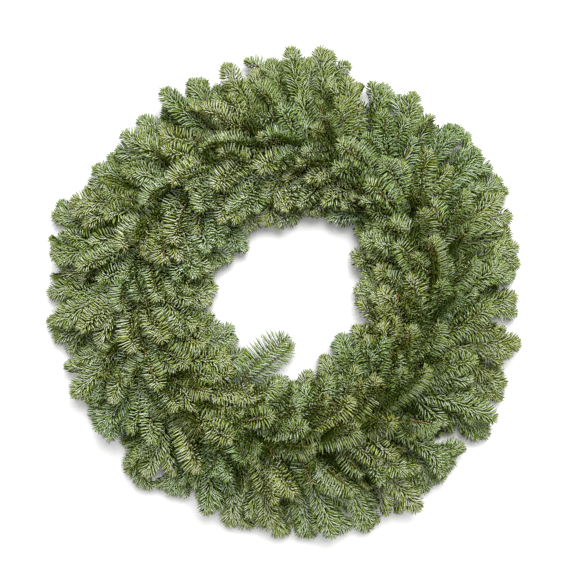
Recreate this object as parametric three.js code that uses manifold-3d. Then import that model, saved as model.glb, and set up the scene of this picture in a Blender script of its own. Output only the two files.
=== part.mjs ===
// A fresh noble fir wreath, lying on its back on a table.
// Millimetres, +Z up. The origin is the middle of the wreath's outline, on the table.
//
// A clamp ring carries the wreath: a round of heavy wire with a welded clamp for each bunch.
// A bunch is seven fir sprays whose stems lie in one clamp. All bunches lie counter-clockwise,
// and each climbs over the stems of the next one, like shingles.
import * as THREE from "three";
import { mergeVertices } from "three/addons/utils/BufferGeometryUtils.js";
import Module from "manifold-3d";

const wasm = await Module();
wasm.setup();

// Driving dimensions
const BUNCHES = 22;
const RING_RADIUS = 178; // a 14 in ring, to the middle of its wire
const WIRE_RADIUS = 2.2; // to the corners of the six-sided wire
const CLEARANCE = 0.3; // between pieces that touch

// How far each bunch reaches from the ring's middle: to the outline, and to the hole's edge.
const OUTER_REACH = [
  297, 305, 302, 289, 309, 292, 290, 283, 284, 304, 293,
  292, 286, 297, 288, 298, 306, 314, 306, 305, 298, 290,
];
const INNER_REACH = [
  95, 115, 105, 100, 80, 85, 86, 78, 85, 90, 90,
  85, 80, 85, 80, 103, 100, 100, 85, 95, 90, 95,
];
// One spray at the bottom reaches further into the hole than its neighbours.
const LONG_SPRAY = { bunch: 14, spray: 6, reach: 60, lead: 47 };

// The sprays of one bunch, from the outline over the face to the hole.
//   across: 1 at the outline, 0 over the ring and -1 at the hole's edge
//   lead: how far the tip lies ahead of the clamp, in degrees
//   height: of the tip above the table
//   seat: where the stem lies in the clamp, as [places outwards, row]
//   swing, rise: the share of its way that the spray first runs along the ring and climbs
const SPRAYS = [
  { across: 1, lead: 14, height: 16, seat: [1.5, 0], swing: 0.2, rise: 0.3 },
  { across: 0.94, lead: 22, height: 40, seat: [0.5, 0], swing: 0.33, rise: 0.55 },
  { across: 0.55, lead: 28, height: 76, seat: [1, 1], swing: 0.42, rise: 0.5 },
  { across: 0.1, lead: 34, height: 94, seat: [0, 1], swing: 0.45, rise: 0.5 },
  { across: -0.35, lead: 37, height: 80, seat: [-1, 1], swing: 0.42, rise: 0.5 },
  { across: -0.72, lead: 34, height: 52, seat: [-0.5, 0], swing: 0.33, rise: 0.55 },
  { across: -1, lead: 25, height: 20, seat: [-1.5, 0], swing: 0.2, rise: 0.3 },
];
const REACH_PLAY = 16; // spread of the tips that don't form the outline
const LEAD_PLAY = 8; // degrees
const HEIGHT_PLAY = 14;

// Stems, cores and needles
const STEM_RADIUS = 3;
const STEM_PITCH = 3.9; // closer than two flats, so that neighbouring stems fuse
const ROW_RISE = 4;
const STEM_TAIL = 11; // shortest cut end behind the clamp
const TAIL_PLAY = 6;
const CLAMP_LEAD = 3; // a spray leaves its straight stem this far ahead of the clamp
const NEEDLE_LENGTH = 22;
const NEEDLE_PLAY = 4;
const NEEDLE_ROOT = 2.4; // a needle's width where it grows from the core
const NEEDLE_SWEEP = 0.22; // how strongly the needles turn up to the light
const NEEDLE_GAP = 1.6; // kept between the middle line of a needle and another bunch
const NEEDLE_PAST_TIP = 6; // how far the last needles reach past the twig
const LOWEST = 1; // nothing but the ring comes lower
// Each whorl of needles: its place along the spray, the core's radius, and the needles' lean.
const WHORLS = [
  { at: 0.5, radius: 3.5, lean: 58 },
  { at: 0.73, radius: 3.3, lean: 55 },
  { at: 0.94, radius: 2.4, lean: 36 },
];
const CORE_SIDES = 4;
const BUD_LENGTH = 5;

// The clamp: a strap bent round the stems, with its two ends meeting over them
const STRAP = 2.6;
const STRAP_WIDTH = 3;
const STRAP_SUNK = 0.4; // into the ring's wire, as the weld
const CLAMP_CHAMFER = 2;
const CLAMP_MOUTH = 3; // between the strap's two ends

const UP = new THREE.Vector3(0, 0, 1);
const HALF_FLAT = STEM_RADIUS * Math.cos(Math.PI / CORE_SIDES);
const RING_TOP = 2 * WIRE_RADIUS * Math.cos(Math.PI / 6);
const CLAMP_FLOOR = RING_TOP - STRAP_SUNK + STRAP;
const STEM_FLOOR = CLAMP_FLOOR + CLEARANCE + HALF_FLAT;

// A number from 0 to 1 that is always the same for the same bunch, spray and purpose.
function chance(bunch, spray, purpose) {
  let h = Math.imul(bunch + 1, 374761393);
  h ^= Math.imul(spray + 1, 668265263);
  h ^= Math.imul(purpose + 1, 1274126177);
  h = Math.imul(h ^ (h >>> 13), 1274126177);
  h = Math.imul(h ^ (h >>> 16), 2246822519);
  h ^= h >>> 13;
  return (h >>> 0) / 4294967296;
}

const play = (bunch, spray, purpose, width) => (chance(bunch, spray, purpose) - 0.5) * width;

const clampAngle = (bunch) => (bunch * 2 * Math.PI) / BUNCHES;

const atAngle = (radius, angle, height) =>
  new THREE.Vector3(radius * Math.cos(angle), radius * Math.sin(angle), height);

// The direction in which the bunches lie at an angle: counter-clockwise along the ring.
const along = (angle) => new THREE.Vector3(-Math.sin(angle), Math.cos(angle), 0);

// Where a spray's tip lies.
function tipOf(bunch, spray) {
  const { across, lead, height } = SPRAYS[spray];
  const toAngle = (degrees) => clampAngle(bunch) + THREE.MathUtils.degToRad(degrees);
  if (bunch === LONG_SPRAY.bunch && spray === LONG_SPRAY.spray)
    return atAngle(LONG_SPRAY.reach + NEEDLE_PAST_TIP, toAngle(LONG_SPRAY.lead), height);
  const onOutline = Math.abs(across) === 1;
  const edge =
    across > 0 ? OUTER_REACH[bunch] - NEEDLE_PAST_TIP : INNER_REACH[bunch] + NEEDLE_PAST_TIP;
  let radius = RING_RADIUS + Math.abs(across) * (edge - RING_RADIUS);
  if (!onOutline) radius += play(bunch, spray, 0, REACH_PLAY);
  const rise = onOutline ? 0 : play(bunch, spray, 2, HEIGHT_PLAY);
  return atAngle(radius, toAngle(lead + play(bunch, spray, 1, LEAD_PLAY)), height + rise);
}

// A spray's way from its clamp to its tip.
function spineOf(bunch, spray) {
  const { seat, swing, rise } = SPRAYS[spray];
  const angle = clampAngle(bunch);
  const start = atAngle(RING_RADIUS + seat[0] * STEM_PITCH, angle, STEM_FLOOR + seat[1] * ROW_RISE)
    .addScaledVector(along(angle), CLAMP_LEAD);
  const tip = tipOf(bunch, spray);
  const turn = start.clone().addScaledVector(along(angle), swing * start.distanceTo(tip));
  turn.z += rise * (tip.z - start.z);
  return new THREE.QuadraticBezierCurve3(start, turn, tip);
}

// The corners of a core at a point of its spine, with one flat side up unless it is turned.
function coreRing(centre, tangent, radius, turned) {
  const up = UP.clone().addScaledVector(tangent, -tangent.z).normalize();
  const side = new THREE.Vector3().crossVectors(tangent, up);
  return Array.from({ length: CORE_SIDES }, (_, i) => {
    const a = ((i + 0.5 + turned) * 2 * Math.PI) / CORE_SIDES;
    return centre
      .clone()
      .addScaledVector(up, radius * Math.cos(a))
      .addScaledVector(side, radius * Math.sin(a));
  });
}

// The core's sections from the cut end to the bud. A whorl has two, with needles between them.
function sectionsOf(bunch, spray) {
  const spine = spineOf(bunch, spray);
  const out = along(clampAngle(bunch));
  const tail = STEM_TAIL + CLAMP_LEAD + chance(bunch, spray, 3) * TAIL_PLAY;
  const sections = [-tail, 0].map((behind) => ({
    centre: spine.v0.clone().addScaledVector(out, behind),
    tangent: out,
    radius: STEM_RADIUS,
    turned: 0,
  }));
  WHORLS.forEach(({ at, radius, lean }, whorl) => {
    const centre = spine.getPoint(at);
    const tangent = spine.getTangent(at);
    for (const end of [-0.5, 0.5])
      sections.push({
        centre: centre.clone().addScaledVector(tangent, end * NEEDLE_ROOT),
        tangent,
        radius,
        turned: whorl / 2,
        whorl: end < 0 ? whorl : undefined,
        lean,
      });
  });
  return { sections, bud: spine.v2.clone().addScaledVector(spine.getTangent(1), BUD_LENGTH) };
}

// Everything that a needle has to stay clear of, unless it grows from it: lines with a radius.
const obstacles = [];

const sprayName = (bunch, spray) => `${bunch} ${spray}`;

function addObstacle(owner, from, to, radius) {
  obstacles.push({ owner, line: new THREE.Line3(from, to), radius });
}

function isClear(owner, from, to, radius) {
  const line = new THREE.Line3(from, to);
  return obstacles.every(
    (o) => o.owner === owner || line.distanceSqToLine3(o.line) > (o.radius + radius) ** 2,
  );
}

// The tip of a needle, bent clear of what is near it, or null where there is no room.
function freeTip(owner, root, normal, section, length) {
  const lean = THREE.MathUtils.degToRad(section.lean);
  for (const sweep of [NEEDLE_SWEEP, 3 * NEEDLE_SWEEP, 0, -NEEDLE_SWEEP]) {
    const direction = normal
      .clone()
      .multiplyScalar(Math.sin(lean))
      .addScaledVector(section.tangent, Math.cos(lean))
      .addScaledVector(UP, sweep)
      .normalize();
    const tip = root.clone().addScaledVector(direction, length);
    tip.z = Math.max(tip.z, LOWEST);
    if (isClear(owner, root, tip, NEEDLE_GAP)) return tip;
  }
  return null;
}

// The tip of the needle that grows from a patch of the core, if that patch has one.
function needleTip(bunch, spray, patch, section, side) {
  if (section.whorl === undefined) return null;
  const root = new THREE.Vector3();
  patch.forEach((corner) => root.addScaledVector(corner, 1 / patch.length));
  const middle = section.centre.clone().addScaledVector(section.tangent, NEEDLE_ROOT / 2);
  const normal = root.clone().sub(middle).normalize();
  const purpose = 10 + section.whorl * CORE_SIDES + side;
  const length = NEEDLE_LENGTH + play(bunch, spray, purpose, NEEDLE_PLAY);
  const owner = sprayName(bunch, spray);
  const tip = freeTip(owner, root, normal, section, length);
  if (tip) addObstacle(owner, root, tip, NEEDLE_GAP - CLEARANCE);
  return tip;
}

// One spray as a closed solid: its core, with a needle on each side of every whorl.
function sprayGeometry(bunch, spray) {
  const { sections, bud } = sectionsOf(bunch, spray);
  const rings = sections.map((s) => coreRing(s.centre, s.tangent, s.radius, s.turned));
  const triangles = [];
  const cut = rings[0];
  for (let i = 1; i < CORE_SIDES - 1; i++) triangles.push([cut[0], cut[i + 1], cut[i]]);
  for (let r = 0; r + 1 < rings.length; r++)
    for (let i = 0; i < CORE_SIDES; i++) {
      const j = (i + 1) % CORE_SIDES;
      const patch = [rings[r][i], rings[r][j], rings[r + 1][j], rings[r + 1][i]];
      const tip = needleTip(bunch, spray, patch, sections[r], i);
      if (tip) patch.forEach((corner, c) => triangles.push([corner, patch[(c + 1) % 4], tip]));
      else triangles.push([patch[0], patch[1], patch[2]], [patch[0], patch[2], patch[3]]);
    }
  const last = rings.at(-1);
  last.forEach((corner, i) => triangles.push([corner, last[(i + 1) % CORE_SIDES], bud]));
  return new THREE.BufferGeometry().setFromPoints(triangles.flat());
}

// A geometry whose shared corners are merged, as a solid that can be joined.
function solidOf(geometry) {
  geometry.deleteAttribute("normal");
  geometry.deleteAttribute("uv");
  const merged = mergeVertices(geometry, 1e-4);
  return new wasm.Manifold(
    new wasm.Mesh({
      numProp: 3,
      vertProperties: merged.attributes.position.array,
      triVerts: new Uint32Array(merged.index.array),
    }),
  );
}

function geometryOf(solid) {
  const mesh = solid.getMesh();
  const geometry = new THREE.BufferGeometry();
  geometry.setAttribute("position", new THREE.BufferAttribute(mesh.vertProperties, 3));
  geometry.setIndex(new THREE.BufferAttribute(mesh.triVerts, 1));
  geometry.computeVertexNormals();
  return geometry;
}

// The ring's wire, flat side down, turned about the wreath's axis.
function ringWire() {
  const middle = RING_TOP / 2;
  const profile = Array.from({ length: 7 }, (_, i) => {
    const a = ((i % 6) * Math.PI) / 3;
    return new THREE.Vector2(
      RING_RADIUS + WIRE_RADIUS * Math.cos(a),
      middle + WIRE_RADIUS * Math.sin(a),
    );
  });
  return new THREE.LatheGeometry(profile, 2 * BUNCHES).rotateX(Math.PI / 2);
}

// The clamp's outline, seen along the ring: across it, and up from the table.
function clampOutline() {
  const inner = 1.5 * STEM_PITCH + HALF_FLAT + CLEARANCE;
  const top = STEM_FLOOR + ROW_RISE + HALF_FLAT + CLEARANCE;
  const x1 = inner + STRAP;
  const low = CLAMP_FLOOR - STRAP;
  const high = top + STRAP;
  const mouth = CLAMP_MOUTH / 2;
  const points = [
    [mouth, high],
    [x1 - CLAMP_CHAMFER, high],
    [x1, high - CLAMP_CHAMFER],
    [x1, low],
    [-x1, low],
    [-x1, high - CLAMP_CHAMFER],
    [CLAMP_CHAMFER - x1, high],
    [-mouth, high],
    [-mouth, top],
    [-inner, top],
    [-inner, CLAMP_FLOOR],
    [inner, CLAMP_FLOOR],
    [inner, top],
    [mouth, top],
  ];
  return new THREE.Shape(points.map(([x, y]) => new THREE.Vector2(x, y)));
}

function clampGeometry(bunch) {
  return new THREE.ExtrudeGeometry(clampOutline(), { depth: STRAP_WIDTH, bevelEnabled: false })
    .translate(0, 0, -STRAP_WIDTH / 2)
    .rotateX(Math.PI / 2)
    .translate(RING_RADIUS, 0, 0)
    .rotateZ(clampAngle(bunch));
}

// Wire and clamps, welded together.
function clampRing() {
  const clamps = Array.from({ length: BUNCHES }, (_, bunch) => solidOf(clampGeometry(bunch)));
  return wasm.Manifold.union([solidOf(ringWire()), ...clamps]);
}

// The ring and its clamps as lines that needles stay clear of.
function addRingObstacles() {
  const reach = 1.5 * STEM_PITCH + HALF_FLAT;
  const height = STEM_FLOOR + ROW_RISE / 2;
  for (let bunch = 0; bunch < BUNCHES; bunch++) {
    const [here, middle, next] = [0, 0.5, 1].map((share) => clampAngle(bunch + share));
    const [wire0, wire1, wire2] = [here, middle, next].map((angle) =>
      atAngle(RING_RADIUS, angle, RING_TOP / 2),
    );
    addObstacle("ring", wire0, wire1, WIRE_RADIUS);
    addObstacle("ring", wire1, wire2, WIRE_RADIUS);
    addObstacle(
      "ring",
      atAngle(RING_RADIUS - reach, here, height),
      atAngle(RING_RADIUS + reach, here, height),
      ROW_RISE + 2 * STRAP,
    );
  }
}

function addCoreObstacles(bunch, spray) {
  const owner = sprayName(bunch, spray);
  const { sections, bud } = sectionsOf(bunch, spray);
  sections.forEach((s, i) => {
    const next = sections[i + 1] ?? { centre: bud, radius: 0 };
    addObstacle(owner, s.centre, next.centre, Math.max(s.radius, next.radius));
  });
}

// The sprays of one bunch, fused where their stems touch in the clamp. Hollows that the stems
// close between them are filled, and loose scraps dropped.
function bunchSolid(bunch) {
  const fused = wasm.Manifold.union(
    SPRAYS.map((_, spray) => solidOf(sprayGeometry(bunch, spray))),
  );
  const bodies = fused.decompose().sort((a, b) => b.volume() - a.volume());
  return bodies[0];
}

const wireFinish = new THREE.MeshStandardMaterial({
  color: 0x2f4a34,
  roughness: 0.4,
  metalness: 0.6,
});
const firGreens = [0x5f6f42, 0x66754a, 0x596b45];

function named(name, geometry, material) {
  const mesh = new THREE.Mesh(geometry, material);
  mesh.name = name;
  return mesh;
}

const wreath = new THREE.Group();
wreath.add(named("wire_ring", geometryOf(clampRing()), wireFinish));
addRingObstacles();
for (let bunch = 0; bunch < BUNCHES; bunch++)
  for (let spray = 0; spray < SPRAYS.length; spray++) addCoreObstacles(bunch, spray);
for (let bunch = 0; bunch < BUNCHES; bunch++) {
  const green = new THREE.MeshStandardMaterial({
    color: firGreens[bunch % firGreens.length],
    roughness: 0.6,
    metalness: 0,
  });
  const number = String(bunch + 1).padStart(2, "0");
  wreath.add(named(`bunch_${number}`, geometryOf(bunchSolid(bunch)), green));
}

export default wreath;
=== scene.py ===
"""A fresh noble fir wreath lying on its back on pale paper, seen from straight above.

Every bunch of cuttings is grown again round the spines of its CAD node: twigs with side
shoots, buds and several thousand curved needles. Foliage is worked out in millimetres and
scaled to metres as its mesh is made.
"""

import math
from collections import namedtuple

import bpy
import numpy as np
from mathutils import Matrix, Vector


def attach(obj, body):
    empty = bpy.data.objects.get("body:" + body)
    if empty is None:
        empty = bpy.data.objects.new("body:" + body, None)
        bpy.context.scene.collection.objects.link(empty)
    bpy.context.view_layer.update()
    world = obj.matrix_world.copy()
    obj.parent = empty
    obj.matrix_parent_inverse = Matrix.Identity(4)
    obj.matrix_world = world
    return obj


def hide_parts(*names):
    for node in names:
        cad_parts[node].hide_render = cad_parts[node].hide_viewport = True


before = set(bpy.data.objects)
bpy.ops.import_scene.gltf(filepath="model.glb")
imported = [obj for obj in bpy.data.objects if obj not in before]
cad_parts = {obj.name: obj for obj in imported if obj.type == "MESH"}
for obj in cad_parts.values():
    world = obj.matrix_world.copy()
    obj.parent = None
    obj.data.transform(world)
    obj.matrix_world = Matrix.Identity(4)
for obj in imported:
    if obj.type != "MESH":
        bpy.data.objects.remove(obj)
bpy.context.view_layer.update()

MM = 0.001
UP = np.array([0.0, 0.0, 1.0])
NEAR_UP = UP + 0.01  # in place of UP beside a shoot, which may itself grow straight up

# The part's own sizes, in millimetres
BUNCHES = 22
RING_RADIUS = 178.0  # to the middle of its wire
WIRE_RADIUS = 2.2
CLEARANCE = 0.3
# How far each bunch reaches from the ring's middle: to the outline, and to the hole's edge
OUTER_REACH = [
    297, 305, 302, 289, 309, 292, 290, 283, 284, 304, 293,
    292, 286, 297, 288, 298, 306, 314, 306, 305, 298, 290,
]
INNER_REACH = [
    95, 115, 105, 100, 80, 85, 86, 78, 85, 90, 90,
    85, 80, 85, 80, 103, 100, 100, 85, 95, 90, 95,
]
# One spray at the bottom reaches further into the hole than its neighbours
LONG_SPRAY = {"bunch": 14, "spray": 6, "reach": 60, "lead": 47}
# The sprays of one bunch, from the outline over the face to the hole
#   across: 1 at the outline, 0 over the ring and -1 at the hole's edge
#   lead: how far the tip lies ahead of the clamp, in degrees
#   height: of the tip above the floor
#   seat: where the stem lies in the clamp, as places outwards and row
#   swing, rise: the share of its way that the spray first runs along the ring and climbs
Spray = namedtuple("Spray", "across lead height seat swing rise")
SPRAYS = [
    Spray(1, 14, 16, (1.5, 0), 0.2, 0.3),
    Spray(0.94, 22, 40, (0.5, 0), 0.33, 0.55),
    Spray(0.55, 28, 76, (1, 1), 0.42, 0.5),
    Spray(0.1, 34, 94, (0, 1), 0.45, 0.5),
    Spray(-0.35, 37, 80, (-1, 1), 0.42, 0.5),
    Spray(-0.72, 34, 52, (-0.5, 0), 0.33, 0.55),
    Spray(-1, 25, 20, (-1.5, 0), 0.2, 0.3),
]
FACE_SPRAYS = (2, 3, 4)
REACH_PLAY = 16
LEAD_PLAY = 8
HEIGHT_PLAY = 14
STEM_RADIUS = 3.0
STEM_PITCH = 3.9
ROW_RISE = 4.0
STEM_TAIL = 11.0
TAIL_PLAY = 6.0
CLAMP_LEAD = 3.0
NEEDLE_PAST_TIP = 6
STRAP = 2.6
STRAP_SUNK = 0.4
CLAMP_MOUTH = 3.0
HALF_FLAT = STEM_RADIUS * math.cos(math.pi / 4)
RING_TOP = 2 * WIRE_RADIUS * math.cos(math.pi / 6)
CLAMP_FLOOR = RING_TOP - STRAP_SUNK + STRAP
STEM_FLOOR = CLAMP_FLOOR + CLEARANCE + HALF_FLAT

# The ring and its clamps as they show, in millimetres
RING_SEGMENTS = 132
RING_SIDES = 8
CLAMP_SIDES = 6
CLAMP_BEND = 2.6
CORNER_STEPS = 4
WELD_HALF_LENGTH = 2.2
WELD_RADII = (0.3, 1.0, 1.3, 1.3, 1.0, 0.3)
WELD_ASIDE = 1.0
WELD_HEIGHT = CLAMP_FLOOR - STRAP + 0.2

# Needles, in millimetres
NEEDLE_LENGTH = 20.0
NEEDLE_HALF_WIDTH = 0.93
NEEDLE_SECTION = ((1, 0, 0.62), (0, 1, -0.32), (0, -1, -0.32))  # ridge, across, out
POINT_SECTION = ((0.5, 0, 0),)  # where a needle ends in a point
ROOT_OUT = 0.6  # from the middle of the twig
TIP_NEEDLES = 15  # round the bud of a shoot
TIP_TURN = 2.4  # in radians, from one of these to the next
TIP_HALF_WIDTH = 0.92 * NEEDLE_HALF_WIDTH
# The painted light of the short needles round a shoot's bud
TIP_PAINTED_LIGHT = 0.7
LOWEST = 0.8  # height of a needle's tip
HIGHEST = 121.0
STARTING = 14.0  # the stretch of a shoot's foot in which they get longer
CLOSING = 17.0  # the stretch of its tip in which they get shorter and lean ahead
CROWDED = 22.0  # the stretch of its tip in which they stand closer
COUNTED_PAST_TIP = 7.0  # added to a shoot's length for their number

# Twigs and buds, in millimetres
TWIG_SIDES = 5
TWIG_STEP = 12
LEAST_RINGS = 4
MAIN_POINTS = 16
SIDE_POINTS = 8
FORK_POINTS = 10
MAIN_WAVE = 1.3
SIDE_WAVE = 0.6
BUD_PLACES = np.array([0, 0.35, 0.75, 1.0])
BUD_SWELL = np.array([0.65, 1.0, 0.7, 0.15])
SIDE_BUD_ODDS = 0.35

# Side shoots, in millimetres and degrees
SIDE_LENGTH = (48, 68)
SIDE_ANGLE = (30, 56)
SIDE_BARE = 3  # without needles at the foot
RISING_ODDS = 0.24  # of one on the wreath's face
RISING = (0.8, 1.8)  # how steeply it then rises
LOWEST_MIDDLE = 6
LOWEST_TIP = 7
HIGHEST_SHOOT = 104.0
EDGE_ROOM = 13.0  # kept to the outline and to the hole
OUTLINE_LEAD = 4  # a bunch reaches furthest this far ahead of its outermost spray's tip
TRIES = 5  # at a length that keeps this room
SHORTER = 0.84  # than the try before

# The fork that reaches into the hole
FORK = ((-46.0, -86.0, 27.0), (1.8, -57.2, 25.0))  # middle and tip of its second twig
FORK_FREE = ((-36.0, -96.0), (4.0, -62.0))  # foot and tip of its free end
FORK_ROOM = 28.0  # kept to it by side shoots
FORK_BARE = 12
FORK_TONE = 0.3
FORK_ROLL = math.radians(-4)

# The light and shade painted into a needle's colour: from the darkest painted shade to 1 as its tip
# comes up between two shares of the crown's height, times a factor that depends on its distance
# from the wreath's middle
CROWN_HEIGHT = 108.0
CROWN_RADIUS = 186.0
CROWN_HALF_WIDTH = 92.0
PAINTED_DARKEST = 0.05
PAINTED_DARK_TO_LIT = (0.14, 0.55)
PAINTED_LIGHT_AT = ((100, 150, 185, 205, 240, 290), (1.21, 1.35, 1.44, 1.26, 0.93, 0.79))
PAINTED_DIM = 0.62  # needles with less painted light are made plainer

# Needles are left out between two distances from the middle where they are hidden by this many
# others of their cell, seen from above and from below
INSIDE = (112, 262)
CELL = 3.0
CELL_ORIGIN = 1000  # added to the two numbers of a cell, so that they are positive
CELL_ROW = 4000  # the step from one row of cells to the next, when they are numbered
LAYERS_ABOVE = 4
LAYERS_BELOW = 4
HIDDEN_SHARE = 0.15  # of them that stays

# How far the tone of a bunch, of a spray and of a side shoot strays
BUNCH_TONE = 0.14
SPRAY_TONE = 0.34
SIDE_TONE = 0.12

# Seeds of the random draws
BUNCH_SEED = 500
AIMED_SEED = 900
WREATH_SEED = 77


def chance(bunch, spray, purpose):
    """A number from 0 to 1, the same one that the part draws."""
    mask = 0xFFFFFFFF
    h = (bunch + 1) * 374761393 & mask
    h ^= (spray + 1) * 668265263 & mask
    h ^= (purpose + 1) * 1274126177 & mask
    h = (h ^ (h >> 13)) * 1274126177 & mask
    h = (h ^ (h >> 16)) * 2246822519 & mask
    h ^= h >> 13
    return h / 4294967296


def play(bunch, spray, purpose, width):
    """A number that strays from 0 by up to half a width."""
    return (chance(bunch, spray, purpose) - 0.5) * width


def at_angle(radius, angle, height):
    return np.array([radius * math.cos(angle), radius * math.sin(angle), height])


def clamp_angle(bunch):
    return bunch * 2 * math.pi / BUNCHES


def ring_direction(angle):
    return np.array([-math.sin(angle), math.cos(angle), 0.0])


def unit(v):
    return v / np.maximum(np.linalg.norm(v, axis=-1, keepdims=True), 1e-9)


def perpendicular(tangent, towards):
    """The part of a direction that is square to the tangent."""
    return unit(towards - (towards * tangent).sum(-1, keepdims=True) * tangent)


def turned(one, other, angle):
    """A direction that leans by an angle from one direction towards another."""
    angle = np.asarray(angle)[..., None]
    return np.cos(angle) * one + np.sin(angle) * other


def smooth(low, high, x):
    """0 below low and 1 above high, with a soft step between them."""
    t = np.clip((x - low) / (high - low), 0, 1)
    return t * t * (3 - 2 * t)


def is_long(bunch, spray):
    """Whether this is the spray that reaches into the hole."""
    return (bunch, spray) == (LONG_SPRAY["bunch"], LONG_SPRAY["spray"])


def tip_of(bunch, spray):
    """Where a spray's twig ends."""
    across, lead, height = SPRAYS[spray][:3]
    here = clamp_angle(bunch)
    if is_long(bunch, spray):
        angle = here + math.radians(LONG_SPRAY["lead"])
        return at_angle(LONG_SPRAY["reach"] + NEEDLE_PAST_TIP, angle, height)
    if across > 0:
        edge = OUTER_REACH[bunch] - NEEDLE_PAST_TIP
    else:
        edge = INNER_REACH[bunch] + NEEDLE_PAST_TIP
    radius = RING_RADIUS + abs(across) * (edge - RING_RADIUS)
    on_outline = abs(across) == 1
    if not on_outline:
        radius += play(bunch, spray, 0, REACH_PLAY)
        height += play(bunch, spray, 2, HEIGHT_PLAY)
    return at_angle(radius, here + math.radians(lead + play(bunch, spray, 1, LEAD_PLAY)), height)


def spine_of(bunch, spray):
    """The three control points of a spray's way from its clamp to its tip."""
    seat, swing, rise = SPRAYS[spray][3:]
    here = clamp_angle(bunch)
    start = at_angle(RING_RADIUS + seat[0] * STEM_PITCH, here, STEM_FLOOR + seat[1] * ROW_RISE)
    start = start + CLAMP_LEAD * ring_direction(here)
    tip = tip_of(bunch, spray)
    turn = start + ring_direction(here) * swing * np.linalg.norm(tip - start)
    turn[2] += rise * (tip[2] - start[2])
    return start, turn, tip


def room_left(point):
    """How far a point lies inside the wreath's outline and outside its hole."""
    radius = math.hypot(point[0], point[1])
    angle = math.degrees(math.atan2(point[1], point[0])) % 360
    places = np.arange(-2, BUNCHES + 2)
    clamps = places * 360 / BUNCHES
    outer_at = clamps + SPRAYS[0].lead + OUTLINE_LEAD
    outer = np.interp(angle, outer_at, np.take(OUTER_REACH, places % BUNCHES))
    inner = np.interp(angle, clamps + SPRAYS[-1].lead, np.take(INNER_REACH, places % BUNCHES))
    return min(outer - radius, radius - inner)


def beside_fork(point):
    """How far a point lies from the free end of the fork that reaches into the hole."""
    foot, tip = (np.array(end) for end in FORK_FREE)
    share = np.clip((point[:2] - foot) @ (tip - foot) / ((tip - foot) @ (tip - foot)), 0, 1)
    return np.linalg.norm(point[:2] - foot - share * (tip - foot))


def bezier(points, t):
    """Points on a curve with three control points."""
    t = np.asarray(t)[..., None]
    p0, p1, p2 = points
    return (1 - t) ** 2 * p0 + 2 * t * (1 - t) * p1 + t**2 * p2


class Path:
    """A line of points with its length, read by the distance from its start."""

    def __init__(self, points):
        self.points = np.asarray(points, float)
        steps = np.linalg.norm(np.diff(self.points, axis=0), axis=1)
        self.at = np.concatenate([[0], np.cumsum(steps)])
        self.length = self.at[-1]
        self.tangents = unit(np.gradient(self.points, self.at, axis=0))

    def between(self, values, place):
        """What the values of the path's points come to at a place between them."""
        return np.stack([np.interp(place, self.at, column) for column in values.T], -1)

    def point(self, place):
        return self.between(self.points, place)

    def tangent(self, place):
        return unit(self.between(self.tangents, place))

    def sides(self, place, roll):
        """The upper side and the left side of a shoot that is rolled round its length."""
        t = self.tangent(place)
        outward = self.points[-1] * (1, 1, 0)
        up = perpendicular(t, np.broadcast_to(UP + 0.3 * unit(outward), t.shape))
        left = np.cross(t, up)
        return turned(up, left, roll), turned(left, -up, roll)


class Mesh:
    """Gathers triangles with their attributes, and makes one object of them.

    growth of a needle: its share of the way, how fresh it is, and 1 on its ridge
    tone of a needle: a number of its own, the hue of its twig, and the painted light and shade of
    its place
    """

    def __init__(self):
        self.vertices, self.triangles, self.materials = [], [], []
        self.growth, self.tone = [], []
        self.count = 0

    def add(self, vertices, triangles, material=0, growth=(0, 0, 0), tone=(0, 0, 0)):
        self.vertices.append(vertices)
        self.triangles.append(triangles + self.count)
        self.materials.append(np.full(len(triangles), material, np.int32))
        self.growth.append(np.broadcast_to(growth, (len(vertices), 3)))
        self.tone.append(np.broadcast_to(tone, (len(vertices), 3)))
        self.count += len(vertices)

    def make(self, name, materials):
        vertices = np.concatenate(self.vertices) * MM
        triangles = np.concatenate(self.triangles)
        mesh = bpy.data.meshes.new(name)
        mesh.vertices.add(len(vertices))
        mesh.vertices.foreach_set("co", vertices.astype(np.float32).ravel())
        mesh.loops.add(3 * len(triangles))
        mesh.loops.foreach_set("vertex_index", triangles.astype(np.int32).ravel())
        mesh.polygons.add(len(triangles))
        mesh.polygons.foreach_set("loop_start", np.arange(0, 3 * len(triangles), 3, dtype=np.int32))
        for material in materials:
            mesh.materials.append(material)
        mesh.polygons.foreach_set("material_index", np.concatenate(self.materials))
        for label, values in (("growth", self.growth), ("tone", self.tone)):
            layer = mesh.attributes.new(label, "FLOAT_VECTOR", "POINT")
            layer.data.foreach_set("vector", np.concatenate(values).astype(np.float32).ravel())
        mesh.update(calc_edges=True)
        mesh.validate()
        mesh.shade_smooth()
        return into_scene(name, mesh)


def into_scene(name, data):
    """A new object of the scene."""
    made = bpy.data.objects.new(name, data)
    bpy.context.scene.collection.objects.link(made)
    return made


def skin(rings, sides, closed=False):
    """The triangles between rings of points that follow each other."""
    i, k = np.meshgrid(np.arange(rings if closed else rings - 1), np.arange(sides), indexing="ij")
    here, ahead = i * sides, (i + 1) % rings * sides
    a, b = here + k, here + (k + 1) % sides
    c, d = ahead + k, ahead + (k + 1) % sides
    return np.concatenate([np.stack([a, b, d], -1), np.stack([a, d, c], -1)]).reshape(-1, 3)


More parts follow.
